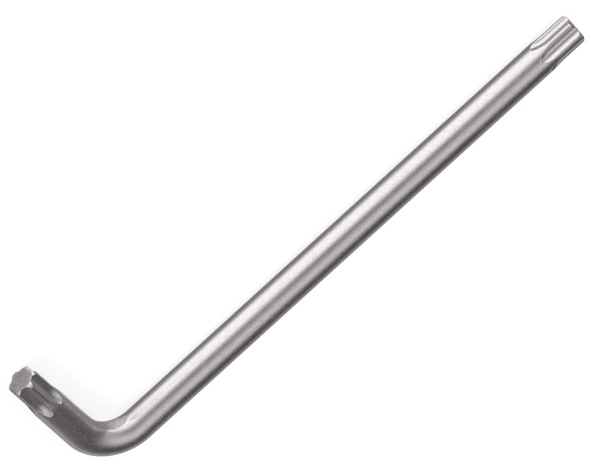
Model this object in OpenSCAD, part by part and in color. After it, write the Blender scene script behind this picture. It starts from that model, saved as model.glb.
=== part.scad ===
// L-shaped star key: one round steel bar, bent once, with a six-lobe star formed on both ends.
// It lies flat: +X along the long arm, +Y along the short arm, +Z up.
// The origin is under the middle of its outer box. All sizes are in millimetres and degrees.

/* [Bar] */
// Diameter of the round bar
bar_d = 7; // [6.8:0.1:9]
// Overall length along the long arm, from the outside of the short arm to the tip
long_arm = 130; // [80:1:220]
// Overall length along the short arm, from the outside of the long arm to the tip
short_arm = 33; // [30:0.5:70]
// Radius of the inside of the bend
bend_inside_r = 5.5; // [4:0.25:8]
// Depth of the hollow that the bending former pressed into the inside of the bend
former_mark_depth = 0.36; // [0.2:0.02:0.5]
// Angle of the bend over which that hollow spreads
former_mark_angle = 80; // [60:1:86]

/* [Star] */
// Width of the star across opposite lobes
lobes_d = 6.7; // [6.4:0.05:6.75]
// Width of the star across opposite flutes
flutes_d = 4.8; // [4.6:0.05:5]
// Radius of each lobe's rounding
lobe_r = 0.55; // [0.45:0.01:0.62]
// Length over which the flutes have their full depth
full_depth_len = 5.8; // [4:0.1:9]
// Radius of the arc on which each flute's floor rises to the bar's surface
run_out_r = 7; // [4:0.5:14]

/* [Tip ends] */
// Diameter of the flat face at each end
face_d = 5.3; // [3:0.1:6]
// Slope of the bevel round each end, measured from the flat face
bevel_angle = 37; // [10:1:55]

/* [Turn of the stars] */
// Turn of the long arm's star about its arm, where 0 has a lobe at the top
long_star_turn = 0; // [-30:1:30]
// Turn of the short arm's star about its arm, where 0 has a lobe in the plane of the key
short_star_turn = -15; // [-30:1:30]

/* [Hidden] */
$fn = 96;
lobe_count = 6;
lobe_step = 360 / lobe_count;
// The lobes' tops are turned down by this much, which leaves a narrow land along each
lobe_land = 0.02;
// Lobe and flute arcs overlap by this much, so that they cross cleanly where they blend
arc_overlap = 0.004;
// A fine step, where the rising part of each flute starts this much shallower than the full depth
flute_step = 0.02;
// The rising cut starts this many degrees inside the full-depth cut
lift_overlap = 10;
// Cutters reach past the surfaces that they cut by this much
overcut = 1;

bar_r = bar_d / 2;
lobes_r = lobes_d / 2;
floor_r = flutes_d / 2;
face_r = face_d / 2;
bend_r = bend_inside_r + bar_r;

// The former's nose is a cylinder, moved from the bend's centre toward the corner
former_shift = former_mark_depth * (2 * bend_inside_r + former_mark_depth)
    / (2 * (former_mark_depth + bend_inside_r * (1 - cos(former_mark_angle / 2))));
former_r = bend_inside_r + former_mark_depth - former_shift;

// Star outline: lobe circles at lobe_offset, and flute circles at flute_offset that touch them
lobe_offset = lobes_r + lobe_land - lobe_r;
half_step_cos = cos(lobe_step / 2);
half_step_sin = sin(lobe_step / 2);
flute_r = (lobe_r ^ 2 - lobe_offset ^ 2 - floor_r ^ 2 + 2 * lobe_offset * floor_r * half_step_cos)
    / (2 * (floor_r - lobe_offset * half_step_cos - lobe_r));
flute_offset = floor_r + flute_r;
touch_share = lobe_r / (lobe_r + flute_r);
touch_x = lobe_offset + touch_share * (flute_offset * half_step_cos - lobe_offset);
touch_y = touch_share * flute_offset * half_step_sin;
core_r = norm([touch_x, touch_y]);

// A form cutter spans one flute, and its edges end over the lands of the two lobes beside it
land_half_angle = acos((lobes_r ^ 2 + lobe_offset ^ 2 - lobe_r ^ 2) / (2 * lobes_r * lobe_offset));
cutter_half_angle = (lobe_step - land_half_angle) / 2;
cutter_reach = bar_r + overcut;
cutter_half_width = cutter_reach * tan(cutter_half_angle);

// Past the full depth the cutter lifts on an arc, about a line this far from the arm's axis
lift_centre = floor_r + flute_step + run_out_r;
run_out_len = sqrt(run_out_r ^ 2 - (lift_centre - bar_r) ^ 2);
bevel_len = (lobes_r - face_r) * tan(bevel_angle);

// The arms' centre lines cross at the corner
corner = [bar_r - long_arm / 2, bar_r - short_arm / 2, bar_r];
long_round_len = long_arm - bar_r - bend_r - full_depth_len;
short_round_len = short_arm - bar_r - bend_r - full_depth_len;

// Star outline, with a lobe on +X
module star_outline() {
    difference() {
        union() {
            circle(r = core_r);
            for (i = [0 : lobe_count - 1])
                rotate(i * lobe_step)
                    translate([lobe_offset, 0])
                        circle(r = lobe_r + arc_overlap);
        }
        for (i = [0 : lobe_count - 1])
            rotate((i + 0.5) * lobe_step)
                translate([flute_offset, 0])
                    circle(r = flute_r);
    }
}

// Outline of the form cutter for the flute on +X
module cutter_outline() {
    difference() {
        polygon([[0, 0], [cutter_reach, -cutter_half_width], [cutter_reach, cutter_half_width]]);
        rotate(lobe_step / 2) star_outline();
    }
}

// Full-depth cut of the flute on +X, from z = 0 up past the end
module straight_cut() {
    linear_extrude(full_depth_len + overcut) cutter_outline();
}

// Cut of the flute on +X below z = 0, where the cutter lifts out of the bar
module rising_cut() {
    translate([lift_centre, 0, 0])
        rotate([90, 180, 0])
            rotate(-lift_overlap)
                rotate_extrude(angle = 90 + lift_overlap)
                    translate([lift_centre - flute_step, 0])
                        mirror([1, 0]) cutter_outline();
}

// Repeats a cut for every flute of a star that is turned by star_turn
module each_flute(star_turn) {
    for (i = [0 : lobe_count - 1])
        rotate(star_turn + (i + 0.5) * lobe_step)
            children();
}

// Round blank of one arm along +Z, necked at z = 0 and bevelled at the end
module blank(round_len) {
    rotate_extrude()
        polygon([
            [0, -round_len],
            [bar_r, -round_len],
            [bar_r, -run_out_len],
            [lobes_r, 0],
            [lobes_r, full_depth_len - bevel_len],
            [face_r, full_depth_len],
            [0, full_depth_len]
        ]);
}

// Straight arm along +Z, with the full depth of its star above z = 0
module arm(round_len, star_turn) {
    difference() {
        difference() {
            blank(round_len);
            each_flute(star_turn) straight_cut();
        }
        each_flute(star_turn) rising_cut();
    }
}

// Nose of the former, as it presses into the inside of the bend
module former_nose() {
    rotate(225)
        translate([former_shift, 0, -bar_r])
            cylinder(r = former_r, h = bar_d);
}

// Quarter turn of bar that joins the arms, hollowed inside by the former
module bend() {
    translate(corner + [bend_r, bend_r, 0])
        difference() {
            rotate(180)
                rotate_extrude(angle = 90)
                    translate([bend_r, 0])
                        circle(r = bar_r);
            former_nose();
        }
}

module key() {
    color("lightgray") {
        bend();
        translate(corner + [bend_r + long_round_len, 0, 0])
            rotate([0, 90, 0])
                arm(long_round_len, long_star_turn);
        translate(corner + [0, bend_r + short_round_len, 0])
            rotate([-90, 0, 0])
                arm(short_round_len, short_star_turn);
    }
}

key();
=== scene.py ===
from bisect import bisect
import math

import bmesh
import bpy
from mathutils import Matrix, Vector


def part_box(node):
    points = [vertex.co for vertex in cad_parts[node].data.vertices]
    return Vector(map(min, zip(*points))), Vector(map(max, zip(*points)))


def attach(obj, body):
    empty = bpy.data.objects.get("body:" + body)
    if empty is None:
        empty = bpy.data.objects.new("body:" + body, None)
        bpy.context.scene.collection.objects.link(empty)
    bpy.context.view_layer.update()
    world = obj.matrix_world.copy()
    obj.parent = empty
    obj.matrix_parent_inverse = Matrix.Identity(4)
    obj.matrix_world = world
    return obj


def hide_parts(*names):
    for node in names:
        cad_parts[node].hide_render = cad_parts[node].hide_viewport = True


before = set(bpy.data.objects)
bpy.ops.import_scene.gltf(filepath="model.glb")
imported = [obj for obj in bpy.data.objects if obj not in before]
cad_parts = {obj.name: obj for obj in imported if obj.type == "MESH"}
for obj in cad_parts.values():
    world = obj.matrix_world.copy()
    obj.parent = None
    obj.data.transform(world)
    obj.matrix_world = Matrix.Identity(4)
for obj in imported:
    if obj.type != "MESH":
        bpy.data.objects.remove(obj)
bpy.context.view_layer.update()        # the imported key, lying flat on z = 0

mm = 0.001
near = 0.001    # millimetres: places closer than this count as one

# The key is modelled in millimetres and brought to metres at the end
starKey = {
    "barRadius": 3.5,
    "bendRadius": 9.0,                # centre line of the bend
    "bendSteps": 56,
    "ringPoints": 360,                # points round the bar
    "longTurn": 0.0,                  # turn of each star about its arm, in degrees
    "shortTurn": -15.0,
}

# One tip along its arm, from z = 0 where the flutes reach full depth
starTip = {
    "lobes": 6,
    "lobesRadius": 3.35,
    "floorRadius": 2.4,
    "lobeRound": 0.55,
    "lobeOffset": 2.82,
    "runOutRadius": 7.0,              # arc on which each flute's floor rises to the bar
    "neckLength": 3.7354,             # the bar narrows to the star over this length
    "neckLead": 0.5,                  # fine rings start this far before the neck
    "fullDepthLength": 5.8,
    "bevelLength": 0.5275,
    "faceRadius": 2.65,
    "faceRims": (0.12, 0.1),          # narrow rings that keep the end face flat
    "faceSkin": 0.01,                 # points this near the end's plane are on the face
    "leadSteps": 5,
    "neckSteps": 38,
    "starSteps": 26,
    "bevelSteps": 6,
    "searchFrom": 1.5,                # a radius that is well inside the flutes' floors
}

# Nose of the former that the bar was bent round, which left a shallow hollow inside the bend
formerNose = {
    "markDepth": 0.36,
    "markAngle": 80.0,                # the part of the bend that the hollow spreads over
    "markSkin": 0.02,                 # points this near the nose are on the mark
}

edgeWear = {
    "sharpFrom": 14.0,                # edges sharper than this get a worn round
    "passes": 4,
    "strength": 0.5,
    "shineFrom": 5.0,                 # ridges start to shine at this angle
    "shineFull": 25.0,                # and shine fully at this one
    "shineSpread": 2,
}

# The frame says where the key lies
lowest, highest = (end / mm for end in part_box("key"))
corner = lowest + Vector((starKey["barRadius"],) * 3)       # where the two arms' centre lines cross
longFullDepth = highest.x - starTip["fullDepthLength"]      # x where the long tip's flutes reach full depth
shortFullDepth = highest.y - starTip["fullDepthLength"]     # y where the short tip's do


def clearSelection():
    bpy.ops.object.select_all(action="DESELECT")


def pickVerts(piece, wanted):
    bpy.ops.mesh.select_all(action="DESELECT")
    mesh = bmesh.from_edit_mesh(piece.data)
    for vert in mesh.verts:
        vert.select = wanted(vert.co)
    mesh.select_flush(True)
    bmesh.update_edit_mesh(piece.data)


# Pushes the selected ring along an arm in even steps, down or up to a new radius
def pushRing(start, along, length, steps, fromRadius, toRadius):
    step = along * (length / steps)
    radius = fromRadius
    for i in range(1, steps + 1):
        bpy.ops.mesh.extrude_region_move(TRANSFORM_OT_translate={"value": step})
        nextRadius = fromRadius + (toRadius - fromRadius) * i / steps
        if nextRadius != radius:
            share = nextRadius / radius
            bpy.ops.transform.resize(value=(share, share, share), center_override=start + step * i)
        radius = nextRadius
    return start + along * length


# Straight arm, narrowed neck, star length, bevel and flat face, from the ring that is selected
def pushArm(start, along, straightLength):
    t = starTip
    bar, lobes, face = starKey["barRadius"], t["lobesRadius"], t["faceRadius"]
    at = pushRing(start, along, straightLength - t["neckLead"], 1, bar, bar)
    at = pushRing(at, along, t["neckLead"], t["leadSteps"], bar, bar)
    at = pushRing(at, along, t["neckLength"], t["neckSteps"], bar, lobes)
    at = pushRing(at, along, t["fullDepthLength"] - t["bevelLength"], t["starSteps"], lobes, lobes)
    at = pushRing(at, along, t["bevelLength"], t["bevelSteps"], lobes, face)
    for rim in t["faceRims"]:
        bpy.ops.mesh.extrude_region_move(TRANSFORM_OT_translate={"value": (0, 0, 0)})
        share = 1 - rim / face
        bpy.ops.transform.resize(value=(share, share, share), center_override=at)
        face -= rim
    bpy.ops.mesh.edge_face_add()
    bpy.ops.mesh.poke()


def makeBlank():
    k = starKey
    bend = k["bendRadius"]
    neck = starTip["neckLength"]
    longStart = corner + Vector((bend, 0, 0))
    shortStart = corner + Vector((0, bend, 0))
    clearSelection()
    bpy.ops.mesh.primitive_circle_add(vertices=k["ringPoints"], radius=k["barRadius"],
                                      location=longStart, rotation=(0, math.pi / 2, 0))
    blank = bpy.context.object
    blank.name = "star_key"
    bpy.ops.object.transform_apply(location=True, rotation=True, scale=True)
    bpy.ops.object.mode_set(mode="EDIT")
    bpy.ops.mesh.select_mode(type="VERT")
    bpy.ops.mesh.select_all(action="SELECT")
    pushArm(longStart, Vector((1, 0, 0)), longFullDepth - neck - longStart.x)
    pickVerts(blank, lambda co: abs(co.x - longStart.x) < near)
    # The spin operator turns the other way from the right-hand rule
    bpy.ops.mesh.spin(steps=k["bendSteps"], angle=math.pi / 2, use_auto_merge=False,
                      center=corner + Vector((bend, bend, 0)), axis=(0, 0, 1))
    pushArm(shortStart, Vector((0, 1, 0)), shortFullDepth - neck - shortStart.y)
    bpy.ops.mesh.select_all(action="SELECT")
    bpy.ops.mesh.remove_doubles(threshold=1e-4)
    bpy.ops.mesh.normals_make_consistent(inside=False)
    return blank


# Finds where a test that is true at the first end turns false
def turnsFalse(test, first, last, halvings=48):
    for _ in range(halvings):
        middle = (first + last) / 2
        if test(middle):
            first = middle
        else:
            last = middle
    return (first + last) / 2


# Half of one flute: angles in degrees from its middle to the crown of the lobe beside it
class Flute:
    def __init__(self):
        t = starTip
        self.halfStep = 180 / t["lobes"]
        half = math.radians(self.halfStep)
        floor, lobe, offset = t["floorRadius"], t["lobeRound"], t["lobeOffset"]
        self.round = ((lobe ** 2 - offset ** 2 - floor ** 2 + 2 * offset * floor * math.cos(half))
                      / (2 * (floor - offset * math.cos(half) - lobe)))
        self.offset = floor + self.round
        share = lobe / (lobe + self.round)
        touchX = offset + share * (self.offset * math.cos(half) - offset)
        touchY = share * self.offset * math.sin(half)
        self.touch = self.halfStep - math.degrees(math.atan2(touchY, touchX))
        self.lift = floor + t["runOutRadius"]
        lead, neck, full, bevel = t["neckLead"], t["neckLength"], t["fullDepthLength"], t["bevelLength"]
        stops = ((-neck - lead, -neck, t["leadSteps"]), (-neck, 0, t["neckSteps"]),
                 (0, full - bevel, t["starSteps"]), (full - bevel, full, t["bevelSteps"]))
        self.rings = [low + (high - low) * i / steps for low, high, steps in stops for i in range(steps)]
        self.rings.append(full)
        self.halfways = [(low + high) / 2 for low, high in zip(self.rings, self.rings[1:])]
        self.kept = {0, full - bevel, full}    # rings here stay in place
        self.snaps = self.findSnaps()

    # Radius of the star's outline
    def outline(self, angle):
        if angle <= self.touch:
            a = math.radians(angle)
            return self.offset * math.cos(a) - math.sqrt(self.round ** 2 - (self.offset * math.sin(a)) ** 2)
        a = math.radians(self.halfStep - angle)
        lobe, offset = starTip["lobeRound"], starTip["lobeOffset"]
        return offset * math.cos(a) + math.sqrt(lobe ** 2 - (offset * math.sin(a)) ** 2)

    # Radius of the blank
    def blank(self, z):
        t = starTip
        bevelStart = t["fullDepthLength"] - t["bevelLength"]
        if z > bevelStart:
            share = (z - bevelStart) / t["bevelLength"]
            return t["lobesRadius"] + (t["faceRadius"] - t["lobesRadius"]) * share
        rise = min(1, max(0, -z / t["neckLength"]))
        rise *= rise * (3 - 2 * rise)
        return t["lobesRadius"] + (starKey["barRadius"] - t["lobesRadius"]) * rise

    # Whether the cutter takes the point away
    def taken(self, radius, angle, z):
        if z >= 0:
            return radius > self.outline(angle)
        x = radius * math.cos(math.radians(angle))
        y = radius * math.sin(math.radians(angle))
        x = self.lift - math.hypot(self.lift - x, z)
        turned = math.degrees(math.atan2(y, x))
        return x > 0 and turned < self.halfStep and math.hypot(x, y) > self.outline(turned)

    def surface(self, angle, z):
        skin = self.blank(z)
        if not self.taken(skin, angle, z):
            return skin
        return turnsFalse(lambda r: not self.taken(r, angle, z), starTip["searchFrom"], skin)

    # Grid points that move onto the ridge where flute and blank meet: (ring, degree) to (angle, z)
    def findSnaps(self):
        found = {}

        def offer(ring, degree, angle, z, gap):
            if gap < found.get((ring, degree), (math.inf,))[0]:
                found[(ring, degree)] = (gap, angle, z)

        for ring, z in enumerate(self.rings):
            skin = self.blank(z)
            if self.taken(skin, 0, z):
                angle = turnsFalse(lambda a: self.taken(skin, a, z), 0, self.halfStep)
                degree = round(angle)
                if degree > 0:
                    offer(ring, degree, angle, z, abs(angle - degree) * math.radians(skin))
        for degree in range(int(self.halfStep)):
            for row in range(len(self.rings) - 1):
                low, high = self.rings[row], self.rings[row + 1]
                cutLow = self.taken(self.blank(low), degree, low)
                if cutLow == self.taken(self.blank(high), degree, high):
                    continue
                z = turnsFalse(lambda h: self.taken(self.blank(h), degree, h) == cutLow, low, high)
                ring = row if z - low < high - z else row + 1
                if self.rings[ring] not in self.kept:
                    offer(ring, degree, degree, z, abs(z - self.rings[ring]))
        return found


# Presses six flutes into the tip that lies along the place's z, and selects the points on the ridges
def pressStar(piece, place, flute):
    t = starTip
    lobeStep = 360 / t["lobes"]
    back = place.inverted()
    mesh = bmesh.from_edit_mesh(piece.data)
    known = {}
    for vert in mesh.verts:
        local = back @ vert.co
        radius = math.hypot(local.x, local.y)
        if local.z < flute.rings[0] - near or radius < near:
            continue
        ring = bisect(flute.halfways, local.z)
        turn = math.degrees(math.atan2(local.y, local.x))
        # The small share keeps a point on a crown from slipping back by a flute
        middle = (math.floor(turn / lobeStep + 1e-6) + 0.5) * lobeStep
        side = 1 if turn >= middle else -1
        degree = round(abs(turn - middle))
        if (ring, degree) not in known:
            if (ring, degree) in flute.snaps:
                _, angle, z = flute.snaps[(ring, degree)]
                known[(ring, degree)] = (angle, z, flute.blank(z), True)
            else:
                z = flute.rings[ring]
                known[(ring, degree)] = (degree, z, flute.surface(degree, z), False)
        angle, z, newRadius, onRidge = known[(ring, degree)]
        inset = t["faceRadius"] - radius if ring == len(flute.rings) - 1 else 0
        if inset > near:
            newRadius -= inset
        elif onRidge:
            vert.select_set(True)
        around = math.radians(middle + side * angle)
        vert.co = place @ Vector((newRadius * math.cos(around), newRadius * math.sin(around), z))
    bmesh.update_edit_mesh(piece.data)


# Where the former's nose stands, from the bend's centre toward the corner, and its radius
def formerPlace():
    inside = starKey["bendRadius"] - starKey["barRadius"]
    depth = formerNose["markDepth"]
    spread = inside * (1 - math.cos(math.radians(formerNose["markAngle"] / 2)))
    shift = depth * (2 * inside + depth) / (2 * (depth + spread))
    return shift, inside + depth - shift


# Presses the former's nose into the inside of the bend, and selects the points on the mark's edge
def pressFormer(piece):
    k = starKey
    bar, bend = k["barRadius"], k["bendRadius"]
    centre = corner + Vector((bend, bend, 0))
    shift, nose = formerPlace()
    half = formerNose["markAngle"] / 2
    inside = bend - bar
    toCorner = -135                   # direction from the bend's centre to the corner
    bendHalf = 45
    halfRing = 180 / k["ringPoints"]
    ringGap = math.radians(halfRing) * bar
    columnGap = math.radians(bendHalf / k["bendSteps"]) * inside
    mesh = bmesh.from_edit_mesh(piece.data)

    # Distance from the bend's centre to the nose, at an angle from the middle of the bend
    def reach(angle):
        a = math.radians(angle)
        return shift * math.cos(a) + math.sqrt(nose ** 2 - (shift * math.sin(a)) ** 2)

    def edge(angle):
        return math.degrees(math.acos(min(1, (bend - reach(angle)) / bar)))

    for vert in mesh.verts:
        flat = Vector((vert.co.x - centre.x, vert.co.y - centre.y))
        angle = math.degrees(math.atan2(flat.y, flat.x)) - toCorner
        if abs(angle) > bendHalf + near or flat.length > bend:
            continue
        lift = math.degrees(math.atan2(vert.co.z - centre.z, bend - flat.length))
        lifted = abs(lift)
        onRing = math.radians(abs(lifted - edge(angle))) * bar if abs(angle) < half else math.inf
        onColumn = math.inf
        if halfRing < lifted < edge(0):
            away = turnsFalse(lambda a: edge(a) > lifted, 0, half)
            onColumn = math.radians(abs(abs(angle) - away)) * inside
        newAngle, newLift, onRidge = angle, lift, False
        if lifted > halfRing and onRing < min(ringGap, onColumn):
            newLift, onRidge = math.copysign(edge(angle), lift), True
        elif onColumn < columnGap:
            newAngle, onRidge = math.copysign(away, angle), True
        radius = bend - bar * math.cos(math.radians(newLift))
        if onRidge:
            vert.select_set(True)
        elif abs(newAngle) < half:
            radius = max(radius, reach(newAngle))
        a = math.radians(newAngle + toCorner)
        height = bar * math.sin(math.radians(newLift))
        vert.co = centre + Vector((radius * math.cos(a), radius * math.sin(a), height))
    bmesh.update_edit_mesh(piece.data)


def describeMesh(piece):
    mesh = bmesh.from_edit_mesh(piece.data)
    openEdges = sum(1 for edge in mesh.edges if not edge.is_manifold)
    volume = round(mesh.calc_volume(signed=True), 2)
    return f"{len(mesh.verts)} points, open edges {openEdges}, volume {volume}"


key = makeBlank()
print("blank bar:", describeMesh(key))

longPlace = (Matrix.Translation((longFullDepth, corner.y, corner.z))
             @ Matrix.Rotation(math.radians(90), 4, "Y")
             @ Matrix.Rotation(math.radians(starKey["longTurn"]), 4, "Z"))
shortPlace = (Matrix.Translation((corner.x, shortFullDepth, corner.z))
              @ Matrix.Rotation(math.radians(-90), 4, "X")
              @ Matrix.Rotation(math.radians(starKey["shortTurn"]), 4, "Z"))
flute = Flute()
bpy.ops.mesh.select_all(action="DESELECT")
pressStar(key, longPlace, flute)
pressStar(key, shortPlace, flute)
pressFormer(key)
bpy.ops.mesh.vert_connect()
print("stars and former's mark pressed:", describeMesh(key))

bpy.ops.mesh.select_mode(type="EDGE")
bpy.ops.mesh.edges_select_sharp(sharpness=math.radians(edgeWear["sharpFrom"]))
bpy.ops.mesh.select_mode(type="VERT")
bpy.ops.mesh.vertices_smooth(factor=edgeWear["strength"], repeat=edgeWear["passes"])
bpy.ops.mesh.select_all(action="SELECT")
bpy.ops.mesh.normals_make_consistent(inside=False)
print("edges worn:", describeMesh(key))
bpy.ops.object.mode_set(mode="OBJECT")
key.scale = (mm, mm, mm)
bpy.ops.object.transform_apply(location=True, rotation=True, scale=True)
bpy.ops.object.shade_smooth()


# Own values on the points: straightened place along and across the bar, worn ridges, dull pressed faces
def markPoints(piece):
    bend, bar = starKey["bendRadius"], starKey["barRadius"]
    shift, nose = formerPlace()
    turnX, turnY = corner.x + bend, corner.y + bend
    noseX, noseY = turnX - shift / math.sqrt(2), turnY - shift / math.sqrt(2)
    shineFrom, shineFull = edgeWear["shineFrom"], edgeWear["shineFull"]
    mesh = bmesh.new()
    mesh.from_mesh(piece.data)
    mesh.verts.ensure_lookup_table()
    sharp = [max([0] + [math.degrees(e.calc_face_angle_signed(0)) for e in v.link_edges])
             for v in mesh.verts]
    worn = [min(1, max(0, (angle - shineFrom) / (shineFull - shineFrom))) for angle in sharp]
    for _ in range(edgeWear["shineSpread"]):
        worn = [0.5 * worn[v.index] + 0.5 * max(worn[e.other_vert(v).index] for e in v.link_edges)
                for v in mesh.verts]
    lines, dull = [], []
    for vert in mesh.verts:
        x, y, z = vert.co / mm
        if x > turnX:
            along, across = x - turnX, y - corner.y
        elif y > turnY:
            along, across = -bend * math.pi / 2 - (y - turnY), x - corner.x
        else:
            along = -bend * math.atan2(turnX - x, turnY - y)
            across = bend - math.hypot(turnX - x, turnY - y)
        lines.extend((along, across, z - corner.z))
        onNose = abs(math.hypot(x - noseX, y - noseY) - nose) < formerNose["markSkin"]
        onMark = onNose and x < turnX and y < turnY and abs(z - corner.z) < bar / 2
        onFace = max(x - highest.x, y - highest.y) > -starTip["faceSkin"]
        dull.append(1.0 if onMark or onFace else 0.0)
    mesh.free()
    for name, kind, channel, values in (("barLine", "FLOAT_VECTOR", "vector", lines),
                                        ("worn", "FLOAT", "value", worn),
                                        ("dull", "FLOAT", "value", dull)):
        piece.data.attributes.new(name, kind, "POINT").data.foreach_set(channel, values)


markPoints(key)

# Satin plating: fine lines drawn along the bar, a soft mottle, brighter worn ridges, dull pressed faces.
# A noise is given as its scale per millimetre along the bar and across it, its detail and its roughness.
satinPlate = {
    "bright": (0.885, 0.855, 0.863),
    "deep": (0.55, 0.522, 0.533),
    "dullPale": (0.97, 0.945, 0.95),
    "dullDark": (0.66, 0.635, 0.645),
    "lines": (0.35, 7.0, 3, 0.6),
    "mottle": (1.5, 2.4, 4, 0.62),
    "cloud": (0.09, 0.25, 2, 0.5),
    "scratch": (1.1, 22.0, 1, 0.5),
    "grain": (1.9, 1.9, 4, 0.65),
    "noiseSpan": (0.3, 0.7),          # most of a noise lies between these
    "stainSpan": (0.45, 0.68),        # the part of the mottle that darkens
    "stainShare": 0.32,
    "stainBetweenLines": 0.55,
    "scratchSpan": (0.68, 0.76),
    "scratchShare": 0.3,
    "wornShare": 0.3,
    "grainSpan": (0.35, 0.65),
    "roughness": 0.23,
    "smoothest": 0.1,
    "mottleRough": 0.24,
    "lineRough": 0.14,
    "cloudRough": 0.08,
    "wornRough": -0.07,
    "dullRough": 0.26,
    "lineDepth": 0.004 * mm,
    "mottleDepth": 0.011 * mm,
    "grainDepth": 0.03 * mm,
}
metal = bpy.data.materials.new("satin plated steel")
metal.use_nodes = True
nodes, links = metal.node_tree.nodes, metal.node_tree.links
shader = nodes["Principled BSDF"]
shader.inputs["Metallic"].default_value = 1


def attribute(name):
    node = nodes.new("ShaderNodeAttribute")
    node.attribute_name = name
    return node


def noise(along, across, detail, roughness):
    stretch = nodes.new("ShaderNodeVectorMath")
    stretch.operation = "MULTIPLY"
    stretch.inputs[1].default_value = (along, across, across)
    links.new(barLine.outputs["Vector"], stretch.inputs[0])
    node = nodes.new("ShaderNodeTexNoise")
    node.inputs["Scale"].default_value = 1
    node.inputs["Detail"].default_value = detail
    node.inputs["Roughness"].default_value = roughness
    links.new(stretch.outputs[0], node.inputs["Vector"])
    return node.outputs["Fac"]


def ranged(source, low, high, toLow, toHigh, soft=False):
    node = nodes.new("ShaderNodeMapRange")
    if soft:
        node.interpolation_type = "SMOOTHSTEP"
    for name, value in (("From Min", low), ("From Max", high), ("To Min", toLow), ("To Max", toHigh)):
        node.inputs[name].default_value = value
    links.new(source, node.inputs["Value"])
    return node.outputs["Result"]


def calc(operation, first, second):
    node = nodes.new("ShaderNodeMath")
    node.operation = operation
    for i, value in enumerate((first, second)):
        if isinstance(value, (int, float)):
            node.inputs[i].default_value = value
        else:
            links.new(value, node.inputs[i])
    return node.outputs[0]


def blend(factor, first, second):
    node = nodes.new("ShaderNodeMix")
    node.data_type = "RGBA"
    links.new(factor, node.inputs["Factor"])
    for name, value in (("A", first), ("B", second)):
        socket = [s for s in node.inputs if s.name == name and s.type == "RGBA"][0]
        if isinstance(value, tuple):
            socket.default_value = value + (1,)
        else:
            links.new(value, socket)
    return [s for s in node.outputs if s.type == "RGBA"][0]


def bump(height, depth, before=None):
    node = nodes.new("ShaderNodeBump")
    node.inputs["Distance"].default_value = depth
    links.new(height, node.inputs["Height"])
    if before:
        links.new(before, node.inputs["Normal"])
    return node.outputs["Normal"]


p = satinPlate
barLine = attribute("barLine")
worn = attribute("worn").outputs["Fac"]
dull = attribute("dull").outputs["Fac"]
lines = noise(*p["lines"])
mottle = noise(*p["mottle"])
cloud = noise(*p["cloud"])
scratch = ranged(noise(*p["scratch"]), *p["scratchSpan"], 0, p["scratchShare"])
grain = noise(*p["grain"])
stain = calc("MULTIPLY", ranged(mottle, *p["stainSpan"], 0, p["stainShare"]),
             ranged(lines, *p["noiseSpan"], p["stainBetweenLines"], 1))
stain = calc("ADD", stain, scratch)
stain = calc("SUBTRACT", stain, calc("MULTIPLY", worn, p["wornShare"]))
plate = blend(calc("MAXIMUM", stain, 0), p["bright"], p["deep"])
pressed = blend(ranged(grain, *p["grainSpan"], 0, 1), p["dullDark"], p["dullPale"])
links.new(blend(dull, plate, pressed), shader.inputs["Base Color"])
rough = p["roughness"]
for pattern, spread in ((mottle, p["mottleRough"]), (lines, p["lineRough"]), (cloud, p["cloudRough"])):
    rough = calc("ADD", rough, ranged(pattern, *p["noiseSpan"], -spread / 2, spread / 2))
for mask, change in ((worn, p["wornRough"]), (dull, p["dullRough"])):
    rough = calc("ADD", rough, calc("MULTIPLY", mask, change))
links.new(calc("MAXIMUM", rough, p["smoothest"]), shader.inputs["Roughness"])
relief = bump(lines, p["lineDepth"])
relief = bump(mottle, p["mottleDepth"], relief)
relief = bump(calc("MULTIPLY", grain, dull), p["grainDepth"], relief)
links.new(relief, shader.inputs["Normal"])
key.data.materials.clear()
key.data.materials.append(metal)
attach(key, "root")
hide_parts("key")
print("plating ready")

paleFloor = {
    "size": 8.0,
    "shade": 0.5,
    "lift": 0.58,                     # a glow in view and in mirrors: lit floor is white, its shadow stays
    "dark": 0.22,                     # painted shade: the grey glow the bar mirrors of the floor close by
    "darkLeft": 0.34,                 # left of the short arm
    "darkBehind": 0.29,               # and behind the long arm
    "leftFade": 3.0 * mm,             # either side of the short arm's centre line
    "behindNear": 4.0 * mm,           # from the long arm's centre line
    "behindFar": 12.0 * mm,
    "tint": (1, 0.93, 0.95),
    "fromX": 0.5 * mm,                # the painted shade in the mirrored floor fades to the lit floor between these distances from the arms
    "toX": 6.0 * mm,
    "fromY": 4.2 * mm,
    "toY": 10.5 * mm,
}
clearSelection()
bpy.ops.mesh.primitive_plane_add(size=paleFloor["size"], location=(0, 0, 0))
floor = bpy.context.object
floor.name = "floor"
floorPaint = bpy.data.materials.new("pale floor")
floorPaint.use_nodes = True
nodes, links = floorPaint.node_tree.nodes, floorPaint.node_tree.links
floorShader = nodes["Principled BSDF"]
floorShader.inputs["Base Color"].default_value = (paleFloor["shade"],) * 3 + (1,)
floorShader.inputs["Roughness"].default_value = 1
floorShader.inputs["Specular IOR Level"].default_value = 0
floorShader.inputs["Emission Color"].default_value = (1, 1, 1, 1)
rays = nodes.new("ShaderNodeLightPath").outputs
seen = calc("MAXIMUM", rays["Is Camera Ray"], rays["Is Glossy Ray"])
seen = calc("MAXIMUM", seen, rays["Is Transmission Ray"])
links.new(calc("MULTIPLY", seen, paleFloor["lift"]), floorShader.inputs["Emission Strength"])
place = nodes.new("ShaderNodeSeparateXYZ")
links.new(nodes.new("ShaderNodeTexCoord").outputs["Object"], place.inputs[0])
armX, armY = corner.x * mm, corner.y * mm
brightX = ranged(place.outputs["X"], armX + paleFloor["fromX"], armX + paleFloor["toX"], 0, 1, soft=True)
brightY = ranged(place.outputs["Y"], armY + paleFloor["fromY"], armY + paleFloor["toY"], 0, 1, soft=True)
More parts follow.
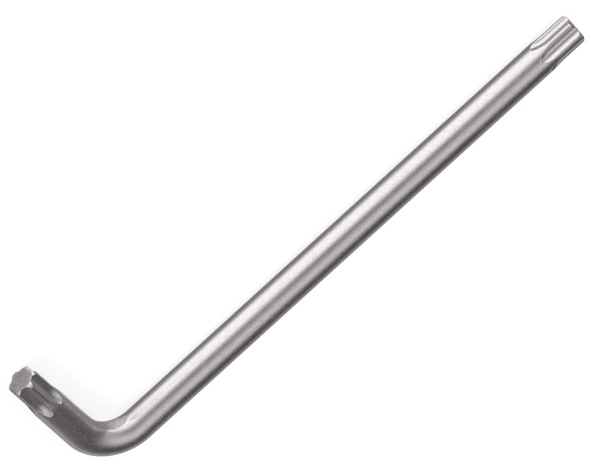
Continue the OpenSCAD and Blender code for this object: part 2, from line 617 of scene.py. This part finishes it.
# Painted shade, only in what the bar mirrors itself, not in what reaches it by way of a lit surface: the
# floor glows grey except in front of the long arm and right of the short arm
mirrored = calc("MULTIPLY", rays["Is Glossy Ray"], calc("LESS_THAN", rays["Diffuse Depth"], 0.5))
mirroredShadeShare = calc("MULTIPLY", mirrored, calc("SUBTRACT", 1, calc("MULTIPLY", brightX, brightY)))
# Painted shade: a grey glow that the bar mirrors in place of the shaded floor
mirroredFloorShade = nodes.new("ShaderNodeEmission")
mirroredFloorShade.inputs["Color"].default_value = paleFloor["tint"] + (1,)
leftLevel = ranged(place.outputs["X"], armX - paleFloor["leftFade"], armX + paleFloor["leftFade"],
                   paleFloor["darkLeft"], paleFloor["dark"])
backLevel = ranged(place.outputs["Y"], armY - paleFloor["behindFar"], armY - paleFloor["behindNear"],
                   paleFloor["darkBehind"], paleFloor["dark"])
links.new(calc("MAXIMUM", leftLevel, backLevel), mirroredFloorShade.inputs["Strength"])
either = nodes.new("ShaderNodeMixShader")
links.new(mirroredShadeShare, either.inputs[0])
links.new(floorShader.outputs[0], either.inputs[1])
links.new(mirroredFloorShade.outputs[0], either.inputs[2])
links.new(either.outputs[0], nodes["Material Output"].inputs["Surface"])
floor.data.materials.append(floorPaint)

# Painted shade: a low flag beside the short arm, glowing faint grey and seen only in the bar, keeps the
# bright floor off that arm's side in place of the shaded floor between the arms
sideShadeFlag = {
    "place": (-55.5 * mm, 5.8 * mm, 2.7 * mm),
    "length": 25.5 * mm,
    "height": 5.4 * mm,
    "shade": 0.24,
}
clearSelection()
bpy.ops.mesh.primitive_plane_add(size=1, location=sideShadeFlag["place"], rotation=(0, math.pi / 2, 0))
flag = bpy.context.object
flag.name = "side shade flag"
flag.scale = (sideShadeFlag["height"], sideShadeFlag["length"], 1)
# painted shade: a black sheet that glows faintly grey, hidden from all but mirrors
flagPaint = bpy.data.materials.new("painted shade flag")
flagPaint.use_nodes = True
flagShader = flagPaint.node_tree.nodes["Principled BSDF"]
flagShader.inputs["Base Color"].default_value = (0, 0, 0, 1)
flagShader.inputs["Specular IOR Level"].default_value = 0
flagShader.inputs["Emission Color"].default_value = (1, 1, 1, 1)
flagShader.inputs["Emission Strength"].default_value = sideShadeFlag["shade"]
flag.data.materials.append(flagPaint)
flag.visible_camera = flag.visible_diffuse = flag.visible_shadow = flag.visible_transmission = False

# Pale surroundings, a little dimmer overhead. The bar mirrors a studio of soft bands across it:
# brightness by angle above the +Y horizon, over the top, to the -Y horizon.
paleRoom = {
    "horizon": 1.0,
    "overhead": 0.65,
    "bands": ((15, 1.05), (42, 0.25), (54, 0.25), (82, 0.6),
              (100, 0.6), (128, 0.09), (152, 0.06), (180, 0.26)),
    "sideBands": ((15, 1.0), (45, 0.4), (98, 0.4), (130, 0.12), (180, 0.18)),
    "sidesFrom": 0.25,                # the side bands take over between these, toward the key's two ends
    "sidesTo": 0.85,
    "tint": (1, 0.93, 0.95),          # of the darkest bands
}
world = bpy.data.worlds.new("pale room")
bpy.context.scene.world = world
world.use_nodes = True
nodes, links = world.node_tree.nodes, world.node_tree.links
split = nodes.new("ShaderNodeSeparateXYZ")
links.new(nodes.new("ShaderNodeTexCoord").outputs["Generated"], split.inputs[0])
plain = ranged(split.outputs["Z"], 0, 1, paleRoom["horizon"], paleRoom["overhead"])
around = calc("DIVIDE", calc("ARCTAN2", split.outputs["Z"], split.outputs["Y"]), math.pi)


def softBands(levels):
    ramp = nodes.new("ShaderNodeValToRGB")
    links.new(around, ramp.inputs["Fac"])
    stops = ramp.color_ramp.elements
    while len(stops) < len(levels):
        stops.new(0.5)
    for stop, (angle, level) in zip(stops, levels):
        stop.position = angle / 180
        pale = min(1, level)
        stop.color = [level * (pale + (1 - pale) * shade) for shade in paleRoom["tint"]] + [1]
    return ramp.outputs["Color"]


sideways = calc("ABSOLUTE", split.outputs["X"], 0)
toSides = ranged(sideways, paleRoom["sidesFrom"], paleRoom["sidesTo"], 0, 1, soft=True)
studio = blend(toSides, softBands(paleRoom["bands"]), softBands(paleRoom["sideBands"]))
rays = nodes.new("ShaderNodeLightPath").outputs
links.new(blend(rays["Is Glossy Ray"], plain, studio), nodes["Background"].inputs["Color"])

# Two soft boxes beyond the ends of the long arm light the table
softBoxes = {
    "right": {"place": (1.1, 0.25, 0.9), "size": 0.8, "power": 5.0},
    "left": {"place": (-1.1, 0.25, 0.9), "size": 0.8, "power": 5.0},
}
for name, box in softBoxes.items():
    lamp = bpy.data.lights.new(name + " soft box", "AREA")
    lamp.shape = "SQUARE"
    lamp.size = box["size"]
    lamp.energy = box["power"]
    holder = bpy.data.objects.new(name + " soft box", lamp)
    bpy.context.scene.collection.objects.link(holder)
    holder.location = box["place"]
    holder.rotation_euler = Vector(box["place"]).to_track_quat("Z", "Y").to_euler()
    holder.visible_glossy = False
print("floor, room and lamps ready")

photoCamera = {
    "lookAt": (-2.9 * mm, -2.88 * mm, 3.5 * mm),
    "distance": 1.342,
    "azimuth": 83.17,                 # degrees round from +X
    "elevation": 48.25,
    "roll": 142.81,
    "lens": 414.87,
    "sensor": 36,
    "nearest": 0.05,
    "furthest": 20,
}
cameraData = bpy.data.cameras.new("photo camera")
cameraData.lens = photoCamera["lens"]
cameraData.sensor_width = photoCamera["sensor"]
cameraData.clip_start = photoCamera["nearest"]
cameraData.clip_end = photoCamera["furthest"]
camera = bpy.data.objects.new("photo camera", cameraData)
bpy.context.scene.collection.objects.link(camera)
azimuth, elevation = math.radians(photoCamera["azimuth"]), math.radians(photoCamera["elevation"])
level = math.cos(elevation)
back = Vector((level * math.cos(azimuth), level * math.sin(azimuth), math.sin(elevation)))
camera.matrix_world = (Matrix.Translation(Vector(photoCamera["lookAt"]) + back * photoCamera["distance"])
                       @ back.to_track_quat("Z", "Y").to_matrix().to_4x4()
                       @ Matrix.Rotation(math.radians(photoCamera["roll"]), 4, "Z"))
bpy.context.scene.camera = camera
bpy.context.scene.view_settings.view_transform = "Standard"

bpy.context.view_layer.update()
